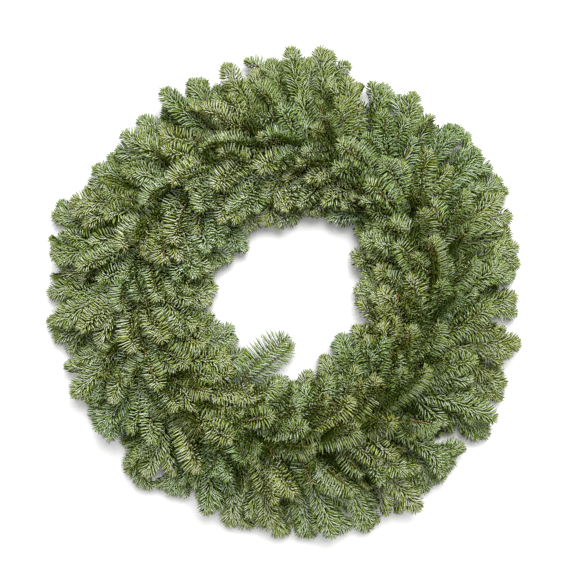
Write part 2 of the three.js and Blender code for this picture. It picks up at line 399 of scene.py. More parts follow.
def tube(path_points, radii, sides, up=UP):
    """A closed tube: its vertices, its triangles and each vertex's share of the way."""
    points = np.asarray(path_points, float)
    tangents = unit(np.gradient(points, axis=0))
    level = perpendicular(tangents, np.broadcast_to(up, points.shape))
    across = np.cross(tangents, level)
    angles = (np.arange(sides) * 2 * math.pi / sides)[None, :, None]
    outward = np.cos(angles) * level[:, None] + np.sin(angles) * across[:, None]
    rings = points[:, None] + np.asarray(radii, float)[:, None, None] * outward
    count = len(points)
    this, after = np.arange(sides), (np.arange(sides) + 1) % sides
    last_ring = (count - 1) * sides
    first, last = count * sides, count * sides + 1
    caps = np.concatenate([
        np.stack([np.full(sides, first), after, this], -1),
        np.stack([np.full(sides, last), last_ring + this, last_ring + after], -1),
    ])
    vertices = np.concatenate([rings.reshape(-1, 3), points[:1], points[-1:]])
    share = np.concatenate([np.repeat(np.linspace(0, 1, count), sides), [0, 1]])
    return vertices, np.concatenate([skin(count, sides), caps]), share


def both_sides(rows):
    """The same rows on the other side too, half a step further along."""
    rows = np.array(rows)
    return np.concatenate([rows, rows * (-1, 1, 1, 1, 1, 1, 1) + (0, 0, 0, 0, 0, 0, 0.5)])


# The rows of needles of a shoot: the angle from its upper side at which they grow, their lean
# away from the twig at the root and at the tip, their length, how far they bend towards the
# upper side, their painted light (low for the rows below the twig, as painted shade), and how far
# they are shifted along the twig.
MAIN_ROWS = both_sides([
    (9, 58, 48, 0.60, 0.00, 1.0, 0.25),
    (30, 71, 62, 0.76, 0.14, 1.0, 0.62),
    (55, 76, 67, 0.92, 0.34, 1.0, 0.54),
    (80, 80, 71, 1.04, 0.55, 0.62, 0.5),
    (106, 84, 74, 1.12, 0.78, 0.1, 0.0),
])
SIDE_ROWS = both_sides([
    (10, 58, 48, 0.62, 0.00, 1.0, 0.25),
    (42, 73, 65, 0.86, 0.28, 1.0, 0.56),
    (74, 79, 70, 1.02, 0.52, 0.55, 0.5),
    (104, 84, 74, 1.10, 0.76, 0.04, 0.0),
])
FLAT_ROWS = np.array([
    (-40, 78, 70, 0.78, 0.12, 0.75, 0.0),
    (-66, 86, 80, 1.12, 0.12, 0.75, 0.0),
    (-90, 89, 83, 1.22, 0.12, 0.5, 0.06),
    (34, 56, 47, 0.56, 0.12, 0.75, 0.5),
    (62, 60, 50, 0.76, 0.12, 0.75, 0.5),
    (88, 62, 52, 0.88, 0.12, 0.5, 0.45),
])
# What the shoots of a kind share: their rows of needles, how far apart the needles of a row
# grow, the twig's radius at its foot and at its tip, and half the width of a needle
Kind = namedtuple("Kind", "rows pitch radii half_width")
MAIN = Kind(MAIN_ROWS, pitch=3.7, radii=(1.7, 0.95), half_width=NEEDLE_HALF_WIDTH)
SIDE = Kind(SIDE_ROWS, pitch=3.6, radii=(1.15, 0.8), half_width=NEEDLE_HALF_WIDTH)
FLAT = Kind(FLAT_ROWS, pitch=4.3, radii=(1.7, 1.1), half_width=1.15)
# Side shoots of a spray: where on it, how likely on each side, their length and their droop
SIDE_SHOOTS = [
    (0.16, 0.85, 1.0, 0.4), (0.36, 0.8, 1.0, 0.15), (0.58, 0.75, 0.8, 0.05), (0.78, 0.6, 0.58, 0.0),
]
FACE_SIDE_SHOOTS = [(0.36, 0.55, 1.0, 0.15), (0.6, 0.6, 0.8, 0.05)]
# Side shoots that close a notch of the outline or a gap, or that rise from the crown: their
# bunch and spray, where they leave it, and the point that they reach, in millimetres
AIMED_SHOOTS = [
    (0, 0, 0.70, (287, 36, 18)), (0, 1, 0.70, (277, 93, 20)), (0, 0, 0.78, (275, 78, 16)),
    (1, 0, 0.78, (273, 126, 18)), (1, 1, 0.74, (227, 186, 22)), (1, 1, 0.80, (253, 152, 20)),
    (2, 0, 0.78, (227, 193, 18)), (2, 1, 0.78, (140, 239, 20)), (2, 6, 0.54, (73, 89, 16)),
    (2, 0, 0.70, (186, 204, 14)), (3, 0, 0.62, (114, 234, 12)), (3, 0, 0.70, (110, 257, 18)),
    (3, 6, 0.54, (49, 100, 12)), (3, 3, 0.62, (49, 204, 108)), (3, 1, 0.70, (93, 255, 18)),
    (4, 0, 0.70, (78, 281, 18)), (4, 1, 0.46, (40, 249, 12)), (4, 0, 0.62, (63, 274, 12)),
    (4, 6, 0.54, (17, 98, 12)), (4, 1, 0.70, (12, 284, 14)), (4, 0, 0.78, (58, 295, 16)),
    (5, 0, 0.78, (-44, 286, 18)), (5, 1, 0.62, (-56, 259, 12)), (5, 1, 0.70, (-73, 253, 12)),
    (6, 1, 0.70, (-137, 242, 12)), (7, 6, 0.78, (-51, 55, 18)), (7, 1, 0.70, (-204, 173, 18)),
    (8, 0, 0.62, (-212, 168, 18)), (8, 0, 0.78, (-237, 132, 16)), (8, 6, 0.70, (-69, 42, 18)),
    (8, 3, 0.62, (-169, 61, 108)), (9, 1, 0.78, (-284, 65, 22)), (9, 0, 0.78, (-276, 110, 16)),
    (10, 6, 0.70, (-89, 6, 18)), (11, 1, 0.70, (-266, -90, 20)), (11, 0, 0.70, (-264, -71, 14)),
    (11, 0, 0.78, (-288, -34, 16)), (12, 1, 0.70, (-204, -169, 12)), (12, 6, 0.70, (-68, -44, 18)),
    (13, 0, 0.78, (-177, -234, 18)), (13, 0, 0.86, (-168, -239, 16)),
    (14, 0, 0.70, (-156, -236, 18)), (14, 0, 0.62, (-119, -240, 12)),
    (14, 3, 0.62, (-43, -194, 110)), (15, 0, 0.78, (-42, -288, 16)), (15, 1, 0.78, (-28, -285, 20)),
    (15, 1, 0.86, (1, -296, 18)), (15, 1, 0.70, (-6, -271, 14)), (16, 0, 0.78, (21, -296, 18)),
    (16, 1, 0.78, (78, -288, 20)), (16, 1, 0.70, (69, -266, 14)), (17, 0, 0.62, (111, -243, 12)),
    (17, 0, 0.78, (113, -281, 18)), (17, 1, 0.78, (142, -266, 22)), (17, 6, 0.78, (50, -81, 18)),
    (17, 0, 0.70, (113, -261, 12)), (17, 3, 0.62, (110, -146, 108)), (18, 0, 0.62, (170, -222, 12)),
    (18, 1, 0.78, (210, -197, 18)), (18, 1, 0.86, (218, -190, 20)), (18, 6, 0.70, (65, -65, 18)),
    (18, 1, 0.62, (180, -185, 14)), (18, 0, 0.78, (208, -212, 16)), (18, 0, 0.74, (173, -243, 14)),
    (19, 0, 0.54, (206, -170, 12)), (19, 0, 0.70, (226, -172, 14)), (19, 0, 0.78, (238, -178, 18)),
    (19, 0, 0.86, (249, -176, 16)), (20, 0, 0.54, (245, -85, 12)), (20, 0, 0.78, (266, -130, 16)),
    (20, 1, 0.78, (288, -63, 20)), (20, 3, 0.62, (202, 1, 108)), (21, 0, 0.70, (284, -25, 18)),
    (21, 6, 0.70, (93, 3, 18)), (21, 1, 0.46, (242, 2, 12)), (21, 6, 0.78, (103, 34, 16)),
    (21, 1, 0.78, (281, 22, 20)),
]

NEEDLE, BARK, BUD = 0, 1, 2  # places in a bunch's list of materials

# The rings of a needle: where along it, and how wide. A ring without width is its point.
BLUNT_RINGS = ((0.43, 1.0), (1.0, 0.7))
PLAIN_RINGS = ((0.55, 1.0), (1.0, 0.0))
# Its triangles between the root, 0, the first ring, 1 to 3, and what follows it, from 4
NEIGHBOURS = [(k, (k + 1) % 3) for k in range(3)]
ROOT_CONE = [(0, 1 + b, 1 + a) for a, b in NEIGHBOURS]
SLEEVE = [t for a, b in NEIGHBOURS for t in ((1 + a, 1 + b, 4 + b), (1 + a, 4 + b, 4 + a))]
BLUNT = ROOT_CONE + [(4, 5, 6)] + SLEEVE
PLAIN = ROOT_CONE + [(4, 1 + a, 1 + b) for a, b in NEIGHBOURS]


class Needles:
    """Needles of one bunch: three control points each, the way their ridge faces, half their
    width, and their numbers for the material, their painted light and shade among them."""

    VALUES = ("p0", "p1", "p2", "facing", "half", "fresh", "light", "tone")

    def __init__(self):
        self.batches = []

    def add(self, *values):
        """Adds some needles by their values, in the order of VALUES."""
        self.batches.append(values)

    def gather(self):
        for name, values in zip(self.VALUES, zip(*self.batches)):
            setattr(self, name, np.concatenate(values))

    def keep(self, mask):
        for name in self.VALUES:
            setattr(self, name, getattr(self, name)[mask])

    def at(self, u):
        return (1 - u) ** 2 * self.p0 + 2 * u * (1 - u) * self.p1 + u**2 * self.p2

    def build(self, mesh, rng):
        """Blunt needles where their painted light is high, and plainer ones where it is low."""
        tones = np.stack([rng.random(len(self.half)), self.tone, self.light], -1)
        self.build_some(mesh, self.light >= PAINTED_DIM, BLUNT_RINGS, BLUNT, tones)
        self.build_some(mesh, self.light < PAINTED_DIM, PLAIN_RINGS, PLAIN, tones)

    def build_some(self, mesh, mask, rings, triangles, tones):
        vertices, places = [self.p0[mask]], [(0, 0.5)]
        for u, width in rings:
            centre = self.at(u)[mask]
            ahead = unit((1 - u) * (self.p1 - self.p0) + u * (self.p2 - self.p1))[mask]
            up = perpendicular(ahead, self.facing[mask])
            side = np.cross(ahead, up)
            half = (self.half[mask] * width)[:, None]
            for ridge, across, out in NEEDLE_SECTION if width else POINT_SECTION:
                vertices.append(centre + half * (across * side + out * up))
                places.append((u, ridge))
        fresh = self.fresh[mask]
        every = np.ones(len(fresh))
        growth = [np.stack([u * every, fresh, ridge * every], -1) for u, ridge in places]
        first_vertices = np.arange(len(fresh)) * len(vertices)
        mesh.add(
            np.stack(vertices, 1).reshape(-1, 3),
            (np.array(triangles) + first_vertices[:, None, None]).reshape(-1, 3),
            NEEDLE,
            np.stack(growth, 1).reshape(-1, 3),
            np.repeat(tones[mask], len(vertices), 0),
        )


def layers_before(cell, height):
    """For each sample, how many samples of its cell lie above it."""
    order = np.lexsort((-height, cell))
    first = np.concatenate([[True], np.diff(cell[order]) != 0])
    place = np.arange(len(cell))
    rank = np.empty(len(cell), int)
    rank[order] = place - np.maximum.accumulate(np.where(first, place, 0))
    return rank


def thin_out(bunches, rng):
    """Leaves out most needles that lie so deep in the wreath that they are never seen."""
    shares = (0.3, 0.65, 1.0)  # of the way along a needle
    samples = np.concatenate([np.stack([b.at(u) for u in shares], 1) for b in bunches])
    cell = np.floor(samples[..., :2] / CELL + CELL_ORIGIN).astype(int)
    cell = (cell[..., 0] * CELL_ROW + cell[..., 1]).ravel()
    height = samples[..., 2].ravel()
    above = layers_before(cell, height).reshape(-1, len(shares)).min(1)
    below = layers_before(cell, -height).reshape(-1, len(shares)).min(1)
    radius = np.linalg.norm(samples[:, -1, :2], axis=-1)
    inside = (radius > INSIDE[0]) & (radius < INSIDE[1])
    hidden = inside & (above >= LAYERS_ABOVE) & (below >= LAYERS_BELOW)
    kept = ~hidden | (rng.random(len(hidden)) < HIDDEN_SHARE)
    ends = np.cumsum([len(b.half) for b in bunches])
    for needles, mask in zip(bunches, np.split(kept, ends[:-1])):
        needles.keep(mask)


def depth_in_crown(points):
    """1 at the surface of the wreath, falling to 0 deep inside it."""
    radius = np.linalg.norm(points[..., :2], axis=-1)
    aside = (radius - CROWN_RADIUS) / CROWN_HALF_WIDTH
    crown = CROWN_HEIGHT * np.sqrt(np.maximum(0, 1 - aside**2))
    return np.clip((points[..., 2] + 1) / (crown + 1), 0, 1)


def painted_light_on(tips):
    """The light and shade painted into needles' colour, by where their tips lie."""
    raised = smooth(*PAINTED_DARK_TO_LIT, depth_in_crown(tips))
    radius = np.hypot(tips[:, 0], tips[:, 1])
    return (PAINTED_DARKEST + (1 - PAINTED_DARKEST) * raised) * np.interp(radius, *PAINTED_LIGHT_AT)


def needle_places(path, start, per_row, phase, rng):
    """How far along a shoot its needles grow, closer together towards its tip."""
    places = np.linspace(start, path.length, 60)
    crowding = np.cumsum(1 + 0.5 * (1 - smooth(0, CROWDED, path.length - places)))
    crowding = (crowding - crowding[0]) / (crowding[-1] - crowding[0])
    step = np.arange(len(phase)) % per_row + phase + rng.uniform(-0.13, 0.13, len(phase))
    place = np.interp(step / per_row, crowding, places)
    return np.minimum(place, path.length - rng.uniform(0, 1.5, len(phase)))


def curve(root, size, first, then):
    """The control points of needles that leave their roots one way and end another way."""
    middle = root + 0.5 * size * first
    return root, middle, middle + 0.54 * size * then


def add_needles(needles, path, kind, start, length, rng, tone, roll):
    """Needles in rows along a shoot. Those that grow at its sides and below bend up."""
    per_row = int((path.length - start + COUNTED_PAST_TIP) / kind.pitch)
    if per_row < 2:
        return
    rows = np.repeat(kind.rows.T, per_row, 1)
    angle, lean0, lean1, share, bend, light, phase = rows
    count = len(angle)
    place = needle_places(path, start, per_row, phase, rng)
    closing = 1 - smooth(0, CLOSING, path.length - place)
    starting = 1 - smooth(0, STARTING, place - start)
    turn = np.radians(angle + rng.normal(size=count) * (9 - 0.06 * np.abs(angle)))
    up, side = path.sides(place, roll)
    radial = turned(up, side, turn)
    size = length * share * (1 - 0.25 * starting) * (1 - 0.52 * closing**1.3)
    size = (size * rng.uniform(0.94, 1.05, count))[:, None]
    lean0 = np.radians(lean0 * (1 - 0.3 * closing) + rng.normal(size=count) * 3)
    lean1 = np.radians(lean1 * (1 - 0.38 * closing) + rng.normal(size=count) * 4.5)
    at_root = unit(radial + 0.25 * bend[:, None] * up)
    bend = (bend * (1 - 0.6 * closing))[:, None]
    at_tip = unit((1 - bend) * radial + bend * up * 1.25)
    ahead = path.tangent(place)
    then = unit(turned(ahead, at_tip, lean1) + 0.035 * rng.normal(size=(count, 3)))
    root = path.point(place) + radial * ROOT_OUT
    p0, p1, p2 = curve(root, size, turned(ahead, at_root, lean0), then)
    low = LOWEST + rng.uniform(0, 2.5, count)
    p1[:, 2] = np.maximum(p1[:, 2], low)
    p2[:, 2] = np.maximum(p2[:, 2], low)
    p2[:, 2] = np.minimum(p2[:, 2], HIGHEST - rng.uniform(0, 3, count))
    facing = unit(0.6 * radial + 0.9 * up + 0.12 * rng.normal(size=(count, 3)))
    half = kind.half_width * rng.uniform(0.92, 1.06, count)
    fresh = np.maximum((place - start) / (path.length - start), 0.95 - 0.012 * np.abs(angle))
    # Painted shade: less towards a shoot's tip, deep in the crown and by the distance from the
    # middle
    light = light * (1 - 0.25 * closing) * painted_light_on(p2)
    needles.add(p0, p1, p2, facing, half, fresh, light, np.full(count, tone))


def add_tip_needles(needles, path, length, rng, tone):
    """Short needles close round the bud at a shoot's tip."""
    end, ahead = path.points[-1], path.tangents[-1]
    one = perpendicular(ahead, NEAR_UP)
    two = np.cross(ahead, one)
    turn = np.arange(TIP_NEEDLES) * TIP_TURN + rng.uniform(0, 6.3)
    lean = np.radians(np.linspace(14, 50, TIP_NEEDLES) + 4 * rng.normal(size=TIP_NEEDLES))
    out = turned(one, two, turn)
    size = length * rng.uniform(0.38, 0.5, (TIP_NEEDLES, 1))
    root = end - ahead * rng.uniform(0.5, 2.5, (TIP_NEEDLES, 1)) + ROOT_OUT * out
    first = unit(turned(ahead, out, lean))
    then = unit(turned(ahead, out, 0.7 * lean) + 0.1 * UP)
    p0, p1, p2 = curve(root, size, first, then)
    p2[:, 2] = np.clip(p2[:, 2], LOWEST + 1, HIGHEST)
    facing = unit(out + 0.7 * UP)
    every = np.ones(TIP_NEEDLES)
    half = TIP_HALF_WIDTH * every
    needles.add(p0, p1, p2, facing, half, every, TIP_PAINTED_LIGHT * every, tone * every)


def along_only(share):
    """The growth attribute of twigs and buds, which use only the share of the way."""
    return np.stack([share, share * 0, share * 0], -1)


def add_bud(mesh, base, direction, length, radius, tone):
    """A bud that swells above its base and ends in a blunt tip."""
    points = base + np.outer(BUD_PLACES * length, direction)
    up = perpendicular(direction, NEAR_UP)
    vertices, triangles, share = tube(points, BUD_SWELL * radius, TWIG_SIDES, up)
    mesh.add(vertices, triangles, BUD, along_only(share), (tone, 0.5, 0.5))


def add_shoot(mesh, needles, path, kind, start, length, rng, tone, roll):
    """A twig with its buds and its needles, which begin at a distance from its foot."""
    count = max(LEAST_RINGS, int(path.length / TWIG_STEP))
    place = np.linspace(0, path.length, count)
    radius = np.interp(place, [0, path.length], kind.radii)
    vertices, triangles, share = tube(path.point(place), radius, TWIG_SIDES)
    mesh.add(vertices, triangles, BARK, along_only(share), (rng.random(), tone, 1))
    add_needles(needles, path, kind, start, length, rng, tone, roll)
    add_tip_needles(needles, path, length, rng, tone)
    end, ahead = path.points[-1], path.tangents[-1]
    thin = kind.radii[1]
    add_bud(mesh, end - 0.6 * ahead, ahead, rng.uniform(3.5, 5), thin * 1.4, rng.random())
    side = np.cross(ahead, perpendicular(ahead, NEAR_UP))
    for sign in (-1, 1):
        if rng.random() < SIDE_BUD_ODDS:
            lean = unit(ahead + sign * 0.75 * side + 0.1 * rng.normal(size=3))
            base = end - 1.4 * ahead + sign * 0.5 * side
            add_bud(mesh, base, lean, rng.uniform(2.6, 3.8), thin, rng.random())


def crooked(points, count, rng, size):
    """Points along a curve, with a slow sideways wave as of a twig that grew a little crooked."""
    t = np.linspace(0, 1, count)
    wave = np.zeros((count, 3))
    for k in (1, 2):
        wave += np.outer(np.sin(math.pi * k * t), rng.normal(size=3)) / k
    return bezier(points, t) + size * wave * (t[:, None] ** 0.5)


def side_path(main, place, sign, angle, length, rng, rise):
    """A side shoot's way: out at an angle, bending forward, and rising or drooping."""
    base = main.point(place)
    ahead = main.tangent(place)
    side = sign * np.cross(ahead, perpendicular(ahead, NEAR_UP))
    angle = math.radians(angle)
    out = unit(turned(ahead, side, angle) + 0.35 * rise * UP)
    later = unit(turned(ahead, side, angle * 0.66) + rise * UP)
    room = EDGE_ROOM * rng.uniform(0.9, 2.2)
    for _ in range(TRIES):
        middle = base + 0.5 * length * out
        tip = middle + 0.5 * length * later
        if room_left(tip) > room and beside_fork(tip) > FORK_ROOM:
            break
        length *= SHORTER
    middle[2] = np.clip(middle[2], LOWEST_MIDDLE, HIGHEST_SHOOT)
    tip[2] = np.clip(tip[2], LOWEST_TIP, HIGHEST_SHOOT)
    return Path(crooked((base, middle, tip), SIDE_POINTS, rng, SIDE_WAVE))


def aimed_path(main, place, tip, rng):
    """A side shoot's way from a place on its twig to a given point."""
    base, tip = main.point(place), np.array(tip, float)
    reach = np.linalg.norm(tip - base)
    middle = base + 0.5 * reach * unit(unit(tip - base) + 0.4 * main.tangent(place))
    return Path(crooked((base, middle, tip), SIDE_POINTS, rng, SIDE_WAVE))


def add_side_shoot(mesh, needles, path, rng, tone):
    """A side shoot of about the tone of its twig, rolled a little round its length."""
    shade = float(np.clip(tone + rng.normal() * SIDE_TONE, 0, 1))
    length = NEEDLE_LENGTH * rng.uniform(0.86, 1.0)
    roll = math.radians(rng.normal() * 22)
    add_shoot(mesh, needles, path, SIDE, SIDE_BARE, length, rng, shade, roll)


def grow_fork(mesh, needles, main, tail, rng):
    """The spray that reaches into the hole: a flat fork of two twigs side by side."""
    foot = main.point(0.5 * main.length)
    twin = Path(crooked((foot, *FORK), FORK_POINTS, rng, SIDE_WAVE))
    length = 1.02 * NEEDLE_LENGTH
    for path, start in ((main, tail + 0.4 * (main.length - tail)), (twin, FORK_BARE)):
        add_shoot(mesh, needles, path, FLAT, start, length, rng, FORK_TONE, FORK_ROLL)


def grow_spray(mesh, needles, bunch, spray, bunch_tone, rng, aimed_rng):
    """One spray: its twig from the tail of its stem to its tip, and its side shoots."""
    start, turn, tip = spine_of(bunch, spray)
    tail = STEM_TAIL + CLAMP_LEAD + chance(bunch, spray, 3) * TAIL_PLAY
    back = tail * ring_direction(clamp_angle(bunch))
    way = crooked((start, turn, tip), MAIN_POINTS, rng, MAIN_WAVE)
    main = Path(np.concatenate([[start - back, start - 0.5 * back], way]))
    tone = float(np.clip(0.5 + bunch_tone + SPRAY_TONE * rng.normal(), 0, 1))
    if is_long(bunch, spray):
        grow_fork(mesh, needles, main, tail, rng)
        return
    face = spray in FACE_SPRAYS
    free = main.length - tail
    roll = math.radians(rng.normal() * (18 if face else 12))
    bare = tail + (0.16 if face else 0.1) * free
    needle_length = NEEDLE_LENGTH * rng.uniform(0.94, 1.06)
    add_shoot(mesh, needles, main, MAIN, bare, needle_length, rng, tone, roll)
    for share, odds, size, droop in FACE_SIDE_SHOOTS if face else SIDE_SHOOTS:
        for sign in (-1, 1):
            if rng.random() > odds:
                continue
            place = tail + (share + rng.uniform(-0.06, 0.06)) * free
            length = rng.uniform(*SIDE_LENGTH) * size
            rise = rng.normal() * 0.2 - droop
            if face and rng.random() < RISING_ODDS:
                rise = rng.uniform(*RISING)
            branch = side_path(main, place, sign, rng.uniform(*SIDE_ANGLE), length, rng, rise)
            add_side_shoot(mesh, needles, branch, rng, tone)
    for at_bunch, at_spray, share, point in AIMED_SHOOTS:
        if (at_bunch, at_spray) == (bunch, spray):
            branch = aimed_path(main, tail + share * free, point, aimed_rng)
            add_side_shoot(mesh, needles, branch, aimed_rng, tone)


def grow_bunch(bunch):
    """The twigs and buds of one bunch of cuttings as a mesh, and its needles."""
    mesh, needles = Mesh(), Needles()
    rng = np.random.default_rng(BUNCH_SEED + bunch)
    aimed_rng = np.random.default_rng(AIMED_SEED + bunch)
    bunch_tone = rng.normal() * BUNCH_TONE
    for spray in range(len(SPRAYS)):
        grow_spray(mesh, needles, bunch, spray, bunch_tone, rng, aimed_rng)
    needles.gather()
    return mesh, needles


def clamp_path():
    """The bent wire of a clamp, seen along the ring: outwards and up."""
    half = 1.5 * STEM_PITCH + HALF_FLAT + CLEARANCE + STRAP / 2
    low = CLAMP_FLOOR - STRAP / 2
    high = STEM_FLOOR + ROW_RISE + HALF_FLAT + CLEARANCE + STRAP / 2
    points = [(CLAMP_MOUTH / 2 + 0.3, high - 0.5), (CLAMP_MOUTH / 2 + 1.5, high - 0.1)]
    x = half - CLAMP_BEND
    for y, first in ((high - CLAMP_BEND, 90), (low + CLAMP_BEND, 0)):
        for step in range(CORNER_STEPS + 1):
            a = math.radians(first - 90 * step / CORNER_STEPS)
            points.append((x + CLAMP_BEND * math.cos(a), y + CLAMP_BEND * math.sin(a)))
    mirrored = [(-x, y) for x, y in reversed(points)]
    return points + [(0, low)] + mirrored


def make_ring(materials):
    """The wire ring with its clamps and their welds, as one piece."""
    mesh = Mesh()
    wire = RING_TOP / 2
    turn = np.linspace(0, 2 * math.pi, RING_SEGMENTS, endpoint=False)[:, None]
    around = np.linspace(0, 2 * math.pi, RING_SIDES, endpoint=False)[None]
    r = RING_RADIUS + wire * np.cos(around)
    z = wire + wire * np.sin(around)
    vertices = np.stack(np.broadcast_arrays(r * np.cos(turn), r * np.sin(turn), z), -1)
    inside_out = skin(RING_SEGMENTS, RING_SIDES, closed=True)
    mesh.add(vertices.reshape(-1, 3), inside_out[:, ::-1])
    outline = clamp_path()
    bead_places = np.linspace(-WELD_HALF_LENGTH, WELD_HALF_LENGTH, len(WELD_RADII))
    for bunch in range(BUNCHES):
        here = clamp_angle(bunch)
        along = ring_direction(here)
        points = [at_angle(RING_RADIUS + x, here, y) for x, y in outline]
        vertices, triangles, _ = tube(points, [STRAP / 2] * len(points), CLAMP_SIDES, along)
        mesh.add(vertices, triangles)
        for aside in (-WELD_ASIDE, WELD_ASIDE):
            centre = at_angle(RING_RADIUS + aside, here, WELD_HEIGHT)
            bead = centre + np.outer(bead_places, along)
            vertices, triangles, _ = tube(bead, WELD_RADII, CLAMP_SIDES)
            mesh.add(vertices, triangles)
    return mesh.make("ring_and_clamps", materials)


# Materials


def new_material(name):
    material = bpy.data.materials.new(name)
    material.use_nodes = True
    return material, Nodes(material.node_tree)


class Nodes:
    """A short way to lay out shader nodes."""

    def __init__(self, tree):
        self.tree = tree
        self.shader = tree.nodes["Principled BSDF"]

    def new(self, kind, **settings):
        node = self.tree.nodes.new(kind)
        for name, value in settings.items():
            setattr(node, name, value)
        return node

    def link(self, source, target):
        self.tree.links.new(source, target)

    def put(self, socket, value):
        if isinstance(value, bpy.types.NodeSocket):
            self.link(value, socket)
        else:
            socket.default_value = value

    def set(self, name, value):
        """Gives an input of the material's shader a value or another node's output."""
        self.put(self.shader.inputs[name], value)

    def parts(self, vector):
        """The three numbers of a vector."""
        node = self.new("ShaderNodeSeparateXYZ")
        self.link(vector, node.inputs[0])
        return node.outputs[:3]

    def attribute(self, name):
        node = self.new("ShaderNodeAttribute", attribute_name=name)
        return self.parts(node.outputs["Vector"])

    def math(self, operation, a, b=0.0):
        node = self.new("ShaderNodeMath", operation=operation)
        for socket, value in zip(node.inputs, (a, b)):
            self.put(socket, value)
        return node.outputs[0]

    def product(self, first, *others):
        for factor in others:
            first = self.math("MULTIPLY", first, factor)
        return first

    def mix(self, factor, a, b, blend="MIX"):
        node = self.new("ShaderNodeMix", data_type="RGBA", blend_type=blend)
        self.put(node.inputs["Factor"], factor)
        self.put(node.inputs["A"], a)
        self.put(node.inputs["B"], b)
        return node.outputs["Result"]

    def noise(self, scale, detail):
        node = self.new("ShaderNodeTexNoise")
        node.inputs["Scale"].default_value = scale
        node.inputs["Detail"].default_value = detail
        self.link(self.new("ShaderNodeTexCoord").outputs["Object"], node.inputs["Vector"])
        return node.outputs["Fac"]

    def shaded(self, tint, factor):
        """A colour made lighter or darker by a number."""
        grey = self.new("ShaderNodeCombineColor")
        for socket in grey.inputs[:3]:
            self.link(factor, socket)
        return self.mix(1.0, tint, grey.outputs[0], "MULTIPLY")

    def range(self, value, low, high, to_low, to_high):
        node = self.new("ShaderNodeMapRange")
        for socket, number in zip(node.inputs, (value, low, high, to_low, to_high)):
            self.put(socket, number)
        return node.outputs[0]

    def mottled(self, scale, detail, low, high):
        """A number that varies over the surface, from low to high."""
        return self.range(self.noise(scale, detail), 0.3, 0.7, low, high)

    def bump(self, height, strength, distance):
        node = self.new("ShaderNodeBump")
        node.inputs["Strength"].default_value = strength
        node.inputs["Distance"].default_value = distance
        self.link(height, node.inputs["Height"])
        self.set("Normal", node.outputs[0])


def linear(share):
    """The linear value of a colour channel given as a share of full on screen."""
    if share <= 0.04045:
        return share / 12.92
    return ((share + 0.055) / 1.055) ** 2.4


def colour(r, g, b):
    """A colour given as 0 to 255 on screen."""
    return (linear(r / 255), linear(g / 255), linear(b / 255), 1.0)


def needle_green(nodes, along, fresh, hue):
    """The colour of needles, yellower at the root and where they are fresh."""
    green = nodes.mix(hue, colour(104, 134, 32), colour(128, 143, 6))
    yellowing = nodes.range(hue, 0, 1, 0.25, 0.75)
    new_growth = nodes.product(nodes.math("POWER", fresh, 3), yellowing)
    green = nodes.mix(new_growth, green, colour(134, 136, 40))
    return nodes.mix(nodes.range(along, 0, 0.45, 0.75, 0), green, colour(134, 124, 40))


def needle_bloom_and_highlight(nodes, outer, ridge, single, painted_lit, under):
    """How much pale wax and painted highlight shows. The wax is the needles' own, but it is made
    strongest near the ridge and scaled by the painted light, so it also paints a highlight; it
    shows away from the root, and a little of it on their undersides."""
    aside = nodes.math("ABSOLUTE", nodes.math("SUBTRACT", ridge, 0.9))
    band = nodes.math("SUBTRACT", 1.0, nodes.product(aside, 2.4))
    band = nodes.math("MAXIMUM", band, 0.0)
    strength = nodes.range(single, 0, 1, 0.08, 1.26)
    away = nodes.range(outer, 0.05, 0.5, 0, 1)
    above = nodes.product(band, strength, away, painted_lit)
    return nodes.math("MAXIMUM", above, nodes.product(under, 0.14))


def needle_material():
    material, nodes = new_material("fir_needle")
    along, fresh, ridge = nodes.attribute("growth")
    # tone: a number of each needle, the hue of its twig, and its painted light
    single, hue, painted_lit = nodes.attribute("tone")
    outer = nodes.math("POWER", along, 1.3)
    # Painted light and shade, put into the colour: the needle's painted light, lifted a little
    # towards its tip
    painted_dark = nodes.math("SUBTRACT", 1.0, painted_lit)
    own_painted_light = nodes.math("ADD", painted_lit, nodes.product(painted_dark, outer, 0.16))
    by_needle = nodes.range(single, 0, 1, 0.86, 1.18)
    # painted shade towards each needle's root, among the others of its shoot
    painted_root_shade = nodes.range(outer, 0, 0.35, 0.11, 1.1)
    # a painted highlight along each needle's ridge and painted shade on its flanks
    painted_ridge_light = nodes.range(ridge, 0, 1, 0.1, 1.81)
    light = nodes.product(by_needle, painted_root_shade, own_painted_light, painted_ridge_light)
    # faces that look down are paler, and the painted shade is lifted on them
    facing = nodes.parts(nodes.new("ShaderNodeNewGeometry").outputs["True Normal"])
    under = nodes.range(facing[2], -0.1, -0.5, 0, 1)
    light = nodes.math("MAXIMUM", light, nodes.product(under, 0.45))
    light = nodes.product(light, nodes.mottled(260, 3, 0.88, 1.12))
    green = needle_green(nodes, along, fresh, hue)
    # where the painted light is low, the green is made deeper and more saturated as painted shade
    painted_shade_green = nodes.mix(1.0, green, colour(239, 255, 110), "MULTIPLY")
    green = nodes.mix(nodes.range(light, 0.1, 1.5, 0, 1), painted_shade_green, green)
    green = nodes.shaded(green, light)
    # the needles' pale wax, made strongest where the painted light and the ridge's painted
    # highlight are
    bloom_and_highlight = needle_bloom_and_highlight(nodes, outer, ridge, single, painted_lit, under)
    nodes.set("Base Color", nodes.mix(bloom_and_highlight, green, colour(206, 207, 222)))
    nodes.set("Roughness", nodes.mottled(900, 2, 0.4, 0.55))
    # the shine is weaker where the painted shade lies
    nodes.set("Specular IOR Level", nodes.product(own_painted_light, 0.1))
    nodes.bump(nodes.noise(700, 2), 0.25, 0.0004)
    return material


